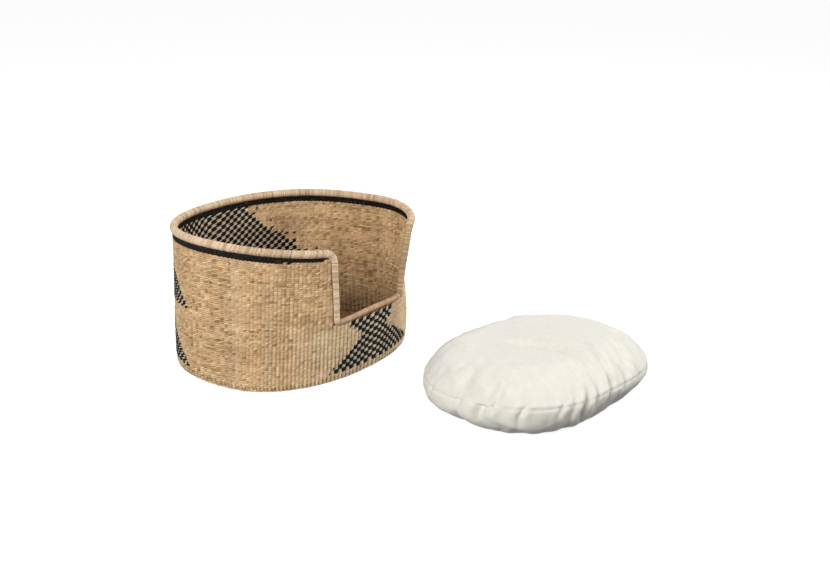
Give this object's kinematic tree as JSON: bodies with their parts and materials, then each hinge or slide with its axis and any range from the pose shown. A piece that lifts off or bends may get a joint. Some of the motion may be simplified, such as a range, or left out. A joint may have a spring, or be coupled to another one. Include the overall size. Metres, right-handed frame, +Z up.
{
  "type": "pet bed basket",
  "caption": "Oval twined grass basket with wrapped rim, dyed band and cut-out doorway, with a loose plump cotton cushion for a small pet.",
  "frame": {"origin": "on the floor under the middle of the basket's base, at its base face", "axes": "+Z up, -Y out through the doorway, +X to the right of someone who faces the doorway from outside"},
  "size_m": [0.5725, 1.0212, 0.3078],
  "materials": {
    "wall_straw": "dry twined grass, matt with a faint sheen",
    "inner_straw": "dry twined grass, matt",
    "dyed_straw": "dyed black grass, satin",
    "rim_straw": "flat straw strips, satin",
    "sill_straw": "flat straw strips, satin",
    "stake_reed": "bare reed, matt",
    "cotton": "plain woven cotton, matt",
    "fibre_fill": "loose fibre filling"
  },
  "bodies": {
    "basket": {"floor_under_weave": "wall_straw", "floor_stakes": "stake_reed", "floor_top_weave": "inner_straw", "wall_stakes": "stake_reed", "outer_weave": "wall_straw", "inner_weave": "inner_straw", "outer_band": "dyed_straw", "inner_band": "dyed_straw", "rim_core": "stake_reed", "rim_wrap": "rim_straw", "sill_core": "stake_reed", "sill_wrap": "sill_straw"},
    "cushion": {"cushion_filling": "fibre_fill", "cushion_bottom_panel": "cotton", "cushion_top_panel": "cotton", "cushion_seam": "cotton"}
  },
  "joints": [
    {"name": "cushion_lift", "type": "slide", "parent": "basket", "child": "cushion", "axis": [0, 0, 1], "range_m": [0, 0.34]}
  ]
}
